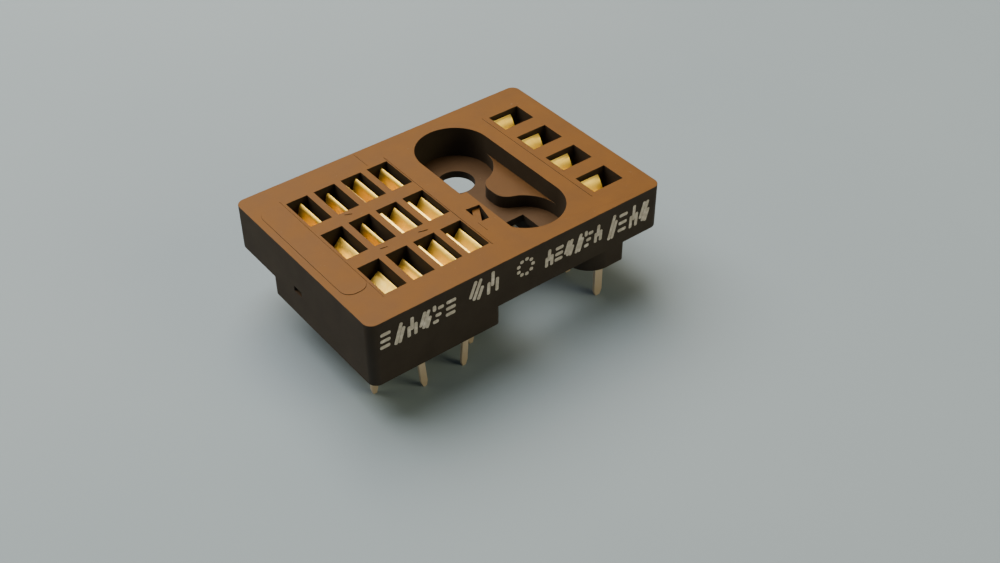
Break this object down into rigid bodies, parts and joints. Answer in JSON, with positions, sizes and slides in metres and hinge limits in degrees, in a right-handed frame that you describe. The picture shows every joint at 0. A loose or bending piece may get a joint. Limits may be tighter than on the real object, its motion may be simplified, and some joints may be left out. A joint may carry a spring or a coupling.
{
  "type": "printed-circuit relay socket",
  "caption": "Low moulded relay socket with a grid of spring contact cells, a stud pocket, a row of coil cells and soldering tails for a printed circuit board.",
  "frame": {"origin": "under the centre of the flange, at the level of the soldering tails' tips, which the socket stands on", "axes": "+Z out of the face that the relay plugs into, +X along the length from the contact grid towards the coil cells, +Y away from the marked long side"},
  "size_m": [0.0282, 0.019, 0.0093],
  "materials": {
    "housing_plastic": "moulded thermoset, satin, dark brown",
    "plate_plastic": "moulded thermoset, dull, near black",
    "contact_strip": "plated spring strip, tinned at the tails",
    "spring_leaf": "gold-plated spring strip"
  },
  "bodies": {
    "socket": {"housing": "housing_plastic", "tail_plate_main": "plate_plastic", "tail_plate_coil": "plate_plastic", "terminal_r1_c1": "contact_strip", "terminal_r1_c2": "contact_strip", "terminal_r1_c3": "contact_strip", "terminal_r1_c4": "contact_strip", "terminal_r2_c1": "contact_strip", "terminal_r2_c2": "contact_strip", "terminal_r2_c3": "contact_strip", "terminal_r2_c4": "contact_strip", "terminal_r3_c1": "contact_strip", "terminal_r3_c2": "contact_strip", "terminal_r3_c3": "contact_strip", "terminal_r3_c4": "contact_strip", "coil_terminal_1": "contact_strip", "coil_terminal_2": "contact_strip", "coil_terminal_3": "contact_strip", "coil_terminal_4": "contact_strip"},
    "leaf_r1_c1": {"leaf_r1_c1": "spring_leaf"},
    "leaf_r1_c2": {"leaf_r1_c2": "spring_leaf"},
    "leaf_r1_c3": {"leaf_r1_c3": "spring_leaf"},
    "leaf_r1_c4": {"leaf_r1_c4": "spring_leaf"},
    "leaf_r2_c1": {"leaf_r2_c1": "spring_leaf"},
    "leaf_r2_c2": {"leaf_r2_c2": "spring_leaf"},
    "leaf_r2_c3": {"leaf_r2_c3": "spring_leaf"},
    "leaf_r2_c4": {"leaf_r2_c4": "spring_leaf"},
    "leaf_r3_c1": {"leaf_r3_c1": "spring_leaf"},
    "leaf_r3_c2": {"leaf_r3_c2": "spring_leaf"},
    "leaf_r3_c3": {"leaf_r3_c3": "spring_leaf"},
    "leaf_r3_c4": {"leaf_r3_c4": "spring_leaf"},
    "coil_leaf_1": {"coil_leaf_1": "spring_leaf"},
    "coil_leaf_2": {"coil_leaf_2": "spring_leaf"},
    "coil_leaf_3": {"coil_leaf_3": "spring_leaf"},
    "coil_leaf_4": {"coil_leaf_4": "spring_leaf"}
  },
  "joints": [
    {"name": "flex_r1_c1", "type": "hinge", "parent": "socket", "child": "leaf_r1_c1", "pos_m": [-0.00994, -0.00519, 0.00624], "axis": [0, 1, 0], "range_deg": [0, 2], "stiffness_Nm_per_rad": 0.01},
    {"name": "flex_r1_c2", "type": "hinge", "parent": "socket", "child": "leaf_r1_c2", "pos_m": [-0.0074, -0.00519, 0.00624], "axis": [0, 1, 0], "range_deg": [0, 4], "stiffness_Nm_per_rad": 0.01},
    {"name": "flex_r1_c3", "type": "hinge", "parent": "socket", "child": "leaf_r1_c3", "pos_m": [-0.00486, -0.00519, 0.00624], "axis": [0, 1, 0], "range_deg": [0, 2], "stiffness_Nm_per_rad": 0.01},
    {"name": "flex_r1_c4", "type": "hinge", "parent": "socket", "child": "leaf_r1_c4", "pos_m": [-0.00232, -0.00519, 0.00624], "axis": [0, 1, 0], "range_deg": [0, 2], "stiffness_Nm_per_rad": 0.01},
    {"name": "flex_r2_c1", "type": "hinge", "parent": "socket", "child": "leaf_r2_c1", "pos_m": [-0.00994, -0.00011, 0.00624], "axis": [0, 1, 0], "range_deg": [0, 2], "stiffness_Nm_per_rad": 0.01},
    {"name": "flex_r2_c2", "type": "hinge", "parent": "socket", "child": "leaf_r2_c2", "pos_m": [-0.0074, -0.00011, 0.00624], "axis": [0, 1, 0], "range_deg": [0, 4], "stiffness_Nm_per_rad": 0.01},
    {"name": "flex_r2_c3", "type": "hinge", "parent": "socket", "child": "leaf_r2_c3", "pos_m": [-0.00486, -0.00011, 0.00624], "axis": [0, 1, 0], "range_deg": [0, 2], "stiffness_Nm_per_rad": 0.01},
    {"name": "flex_r2_c4", "type": "hinge", "parent": "socket", "child": "leaf_r2_c4", "pos_m": [-0.00232, -0.00011, 0.00624], "axis": [0, 1, 0], "range_deg": [0, 2], "stiffness_Nm_per_rad": 0.01},
    {"name": "flex_r3_c1", "type": "hinge", "parent": "socket", "child": "leaf_r3_c1", "pos_m": [-0.00994, 0.00498, 0.00624], "axis": [0, 1, 0], "range_deg": [0, 4], "stiffness_Nm_per_rad": 0.01},
    {"name": "flex_r3_c2", "type": "hinge", "parent": "socket", "child": "leaf_r3_c2", "pos_m": [-0.0074, 0.00498, 0.00624], "axis": [0, 1, 0], "range_deg": [0, 4], "stiffness_Nm_per_rad": 0.01},
    {"name": "flex_r3_c3", "type": "hinge", "parent": "socket", "child": "leaf_r3_c3", "pos_m": [-0.00486, 0.00498, 0.00624], "axis": [0, 1, 0], "range_deg": [0, 4], "stiffness_Nm_per_rad": 0.01},
    {"name": "flex_r3_c4", "type": "hinge", "parent": "socket", "child": "leaf_r3_c4", "pos_m": [-0.00232, 0.00498, 0.00624], "axis": [0, 1, 0], "range_deg": [0, 4], "stiffness_Nm_per_rad": 0.01},
    {"name": "coil_flex_1", "type": "hinge", "parent": "socket", "child": "coil_leaf_1", "pos_m": [0.0102, -0.00575, 0.00624], "axis": [-1, 0, 0], "range_deg": [0, 3], "stiffness_Nm_per_rad": 0.01},
    {"name": "coil_flex_2", "type": "hinge", "parent": "socket", "child": "coil_leaf_2", "pos_m": [0.0102, -0.00194, 0.00624], "axis": [-1, 0, 0], "range_deg": [0, 3], "stiffness_Nm_per_rad": 0.01},
    {"name": "coil_flex_3", "type": "hinge", "parent": "socket", "child": "coil_leaf_3", "pos_m": [0.0102, 0.00187, 0.00624], "axis": [-1, 0, 0], "range_deg": [0, 3], "stiffness_Nm_per_rad": 0.01},
    {"name": "coil_flex_4", "type": "hinge", "parent": "socket", "child": "coil_leaf_4", "pos_m": [0.0102, 0.00568, 0.00624], "axis": [-1, 0, 0], "range_deg": [0, 3], "stiffness_Nm_per_rad": 0.01}
  ]
}
